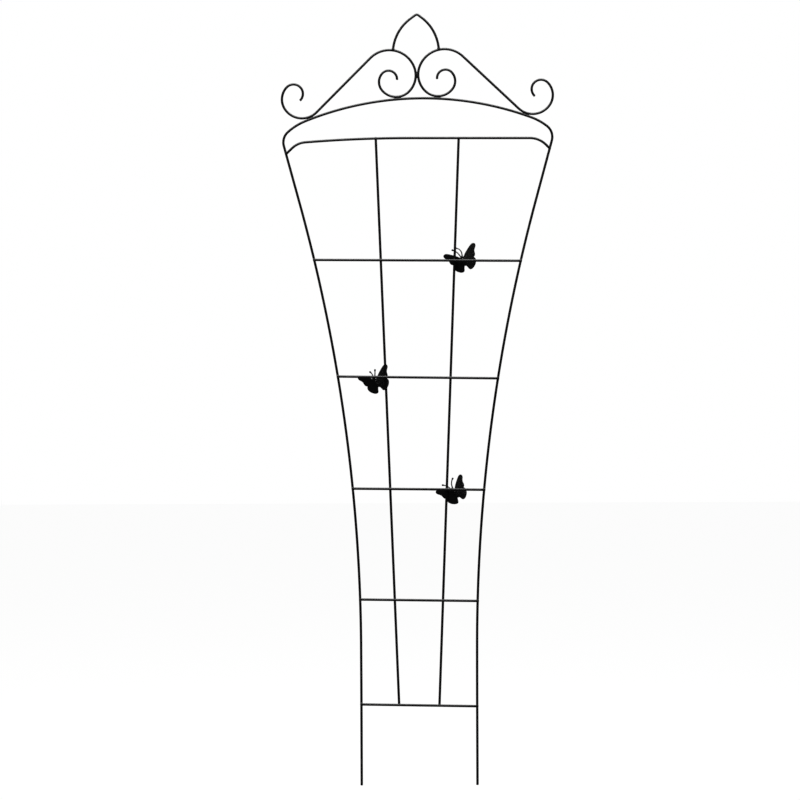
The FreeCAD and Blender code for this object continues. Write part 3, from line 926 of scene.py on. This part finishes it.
def body_mesh():
    """Ringed abdomen, furry thorax and a round head with eyes, along local Z."""
    sweep = np.linspace(POLE, np.pi - POLE, BODY_ROWS)
    z = BODY_LOW + BODY_L * (1 - np.cos(sweep)) / 2
    groove = 0.5 + 0.5 * np.cos((z - BODY_LOW) * 2 * np.pi / GROOVE[1])
    abdomen = egg(z, *ABDOMEN) * (1 - GROOVE[0] * groove ** 4)
    parts = [abdomen, egg(z, *THORAX), egg(z, *HEAD), link(z, *NECK), link(z, *WAIST)]
    soft = np.array(SOFTEN) / sum(SOFTEN)
    edge = len(SOFTEN) // 2
    r = np.convolve(np.pad(np.maximum.reduce(parts), edge, mode="edge"), soft, mode="valid")
    eyes = [np.array([s * EYE_AT[0], EYE_AT[1], HEAD_AT + EYE_AT[2]]) for s in (-1, 1)]
    rings = []
    for i in range(BODY_ROWS):
        ring = []
        for j in range(BODY_SIDES):
            a = 2 * np.pi * j / BODY_SIDES
            d = np.array([np.sin(a), -np.cos(a), 0.0])
            p = d * r[i] + np.array([0, 0, z[i]])
            eye = max(EYE[0] * math.exp(-(np.linalg.norm(p - e) / EYE[1]) ** 2) for e in eyes)
            fur = FUR[0] * math.exp(-((z[i] - THORAX[1]) / FUR[1]) ** 4)
            where = (a * BODY_R * FUR_NOISE[0], z[i] * FUR_NOISE[1], BODY_R)
            fur *= noise.noise(Vector(where))
            grain = SKIN_NOISE[0] * noise.noise(Vector(p * SKIN_NOISE[1]))
            ring.append(p + d * (eye + fur + grain))
        rings.append(np.array(ring))
    low, high = z[0] - TIPS[0], z[-1] + TIPS[1]
    return skin(rings, np.array([0, 0, low]), np.array([0, 0, high]))


def turned(p, angle, about_z=0.0):
    """Points turned anticlockwise, seen from the front, about a point on the Z axis."""
    c, s = math.cos(math.radians(angle)), math.sin(math.radians(angle))
    x, z = p[:, 0], p[:, 2] - about_z
    return np.stack([x * c - z * s, p[:, 1], x * s + z * c + about_z], axis=1)


ANTENNA_STRAIGHT = 0.3         # share of the length before the bend
ANTENNA_SIDES = 18
WIRE_PITCH = 1.2
TIP_PITCH = 0.18
TIP_FROM = 4.0                 # from here to the ball the rings are close
TIP_GAP = 0.1
RING_COUNTS = (30, 34)
TAPER = (1.08, 0.30)           # the wire's radius at the root, share lost by the ball
SWELL = (0.45, 1.6, 1.3)       # height, place before the ball, width
BALL_SHARE = 0.98              # of the ball's radius that the path covers
BALL_TIP = 0.03


def antenna_mesh(side, length, start, turn):
    """Tapered wire that swells to a club, raking back from the head."""
    straight = ANTENNA_STRAIGHT * length
    path = Path(side * ANTENNA_APART, HEAD_AT, start)
    path.line(straight, WIRE_PITCH).arc((length - straight) / math.radians(abs(turn)), turn)
    path.line(KNOB_R * BALL_SHARE, TIP_PITCH).done()
    run = run_along(path.points)
    coarse = np.linspace(0, length - TIP_FROM, RING_COUNTS[0])
    close = np.linspace(length - TIP_FROM + TIP_GAP, run[-1], RING_COUNTS[1])
    at = np.concatenate([coarse, close])
    pts = columns(at, run, path.points)
    angles = np.interp(at, run, path.angles)
    wire = WIRE_R * (TAPER[0] - TAPER[1] * at / length)
    swell = SWELL[0] * bell(at - length + SWELL[1], SWELL[2])
    r = np.maximum((wire + swell) * (at < length), egg(at, KNOB_R, length, KNOB_R))
    t = np.arange(ANTENNA_SIDES) * (2 * np.pi / ANTENNA_SIDES)
    rings = []
    for p, angle, radius in zip(pts, angles, r):
        across = np.outer(np.cos(t) * radius, heading(angle + 90.0))
        rings.append(p + across + np.outer(np.sin(t) * radius, TO_FRONT))
    verts, faces = skin(rings, pts[0], pts[-1] + heading(angles[-1]) * BALL_TIP)
    c, s = math.cos(math.radians(ANTENNA_TILT)), math.sin(math.radians(ANTENNA_TILT))
    x, y, z = verts[:, 0], verts[:, 1], verts[:, 2] - HEAD_AT
    return np.stack([x, y * c + z * s, HEAD_AT + z * c - y * s], axis=1), faces


wing = flat_wing()
body_verts, body_faces = body_mesh()
tacks = []
for name, bar, x, z, axis, twist, left, right in BUTTERFLIES:
    at = np.array([x, BODY_Y, z])

    def placed(p):
        return turned(p, axis - 90.0) + at

    verts, faces = wing_pair(wing, *WING_SETS[name])
    verts = placed(verts + np.array([0, FOLD_BEHIND, 0]))
    node = name + "_wings"
    new_piece(name + "_stamped_wings", verts, faces, coat_wing, [node])
    verts = placed(turned(body_verts, twist, TWIST_AT))
    node = name + "_body"
    new_piece(name + "_ringed_body", verts, body_faces, coat_body, [node])
    for key, side, (length, start, turn) in (("left", -1, left), ("right", 1, right)):
        verts, faces = antenna_mesh(side, length, start - axis - twist + 90, turn)
        verts = placed(turned(verts, twist, TWIST_AT))
        node = name + "_antenna_" + key
        new_piece(name + "_feeler_" + key, verts, faces, coat_body, [node])

    # Tack weld where the body's axis crosses its bar, or nearest to it.
    tail = at + heading(axis) * TWIST_AT
    spine = heading(axis + twist)
    bar_z = BAR_Z[bar] - x * math.tan(math.radians(BAR_FALL[bar]))
    touch = tail + spine * min((bar_z - tail[2]) / spine[2], HEAD_AT - TWIST_AT)
    centre = np.array([touch[0], BAR_Y + ROD_R + GAP / 2, (touch[2] + bar_z) / 2])
    on_bar = np.array([0.0, BAR_Y, BAR_Z[bar]])
    rods = (("line", on_bar, heading(-BAR_FALL[bar]), ROD_R),
            ("line", tail, spine, BODY_R - SUNK))
    tacks.append(round_bead(TACK_BEAD, centre, rods))
bead_group("weld_beads_butterflies", "welds_butterflies", tacks)


# ---------------------------------------------------------------- stage
# Everything round the object is white to the eye and dull to the object's reflections.
FLOOR_HALF = 12.0
FLOOR_GREY = 0.03
FLOOR_GLOW = 0.975
FLOOR_DULL = 0.12
WORLD_WHITE = 1.0
WORLD_DULL = 0.05


def grey(value):
    return (value, value, value, 1.0)


def to_the_eye(nt, out, shown, otherwise):
    """Give camera rays one shader and all other rays another."""
    ray = nt.nodes.new("ShaderNodeLightPath")
    mix = nt.nodes.new("ShaderNodeMixShader")
    nt.links.new(ray.outputs["Is Camera Ray"], mix.inputs[0])
    nt.links.new(otherwise.outputs[0], mix.inputs[1])
    nt.links.new(shown.outputs[0], mix.inputs[2])
    nt.links.new(mix.outputs[0], out.inputs[0])


def floor_material():
    m = bpy.data.materials.new("studio_floor")
    nt = bare_tree(m)
    out = nt.nodes.new("ShaderNodeOutputMaterial")
    paper = nt.nodes.new("ShaderNodeBsdfDiffuse")
    paper.inputs[0].default_value = grey(FLOOR_GREY)
    dull = nt.nodes.new("ShaderNodeBsdfDiffuse")
    dull.inputs[0].default_value = grey(FLOOR_DULL)
    light = nt.nodes.new("ShaderNodeEmission")
    light.inputs[1].default_value = FLOOR_GLOW
    total = nt.nodes.new("ShaderNodeAddShader")
    nt.links.new(paper.outputs[0], total.inputs[0])
    nt.links.new(light.outputs[0], total.inputs[1])
    to_the_eye(nt, out, total, dull)
    return m


def background(nt, strength):
    node = nt.nodes.new("ShaderNodeBackground")
    node.inputs[0].default_value = grey(1.0)
    node.inputs[1].default_value = strength
    return node


floor_mesh = bpy.data.meshes.new("floor")
corners = [(x * FLOOR_HALF, y * FLOOR_HALF, 0) for x, y in ((-1, -1), (1, -1), (1, 1), (-1, 1))]
floor_mesh.from_pydata(corners, [], [(0, 1, 2, 3)])
floor_mesh.materials.append(floor_material())
floor = bpy.data.objects.new("floor", floor_mesh)
bpy.context.scene.collection.objects.link(floor)

world = bpy.data.worlds.new("studio")
bpy.context.scene.world = world
sky = bare_tree(world)
sky_out = sky.nodes.new("ShaderNodeOutputWorld")
to_the_eye(sky, sky_out, background(sky, WORLD_WHITE), background(sky, WORLD_DULL))


LIT_POINT = (0.0, 0.0, 0.8)
SOFTBOXES = (                  # name, place, width and height, watts
    ("softbox_top", (0.0, -0.3, 3.2), (3.0, 1.8), 150.0),
    ("softbox_front", (-0.5, -2.2, 2.9), (2.4, 1.4), 34.0),
)


def softbox(name, at, size, watts):
    light = bpy.data.lights.new(name, "AREA")
    light.shape = "RECTANGLE"
    light.size, light.size_y = size
    light.energy = watts
    o = bpy.data.objects.new(name, light)
    o.location = at
    o.rotation_euler = (Vector(LIT_POINT) - Vector(at)).to_track_quat("-Z", "Y").to_euler()
    bpy.context.scene.collection.objects.link(o)


for box in SOFTBOXES:
    softbox(*box)

# ---------------------------------------------------------------- camera
MM_PER_PIXEL = 1.975
FRAME_PIXELS = 800
LENS = 100.0
SENSOR = 36.0
AIM = (-35.9 * MM, 0.0, 760.7 * MM)
ROLL = math.radians(0.217)     # the photograph is tilted
CLIP = (0.1, 60.0)
VIEW_GAMMA = 0.8               # stands in for the photograph's sharpening
cam = bpy.data.cameras.new("camera")
cam.lens = LENS
cam.sensor_width = SENSOR
camera = bpy.data.objects.new("camera", cam)
bpy.context.scene.collection.objects.link(camera)
distance = MM_PER_PIXEL * FRAME_PIXELS * MM * LENS / SENSOR
camera.location = (AIM[0], AIM[1] - distance, AIM[2])
camera.rotation_euler = (math.pi / 2, ROLL, 0.0)
cam.clip_start, cam.clip_end = CLIP
bpy.context.scene.camera = camera
bpy.context.scene.view_settings.view_transform = "Standard"
bpy.context.scene.view_settings.gamma = VIEW_GAMMA
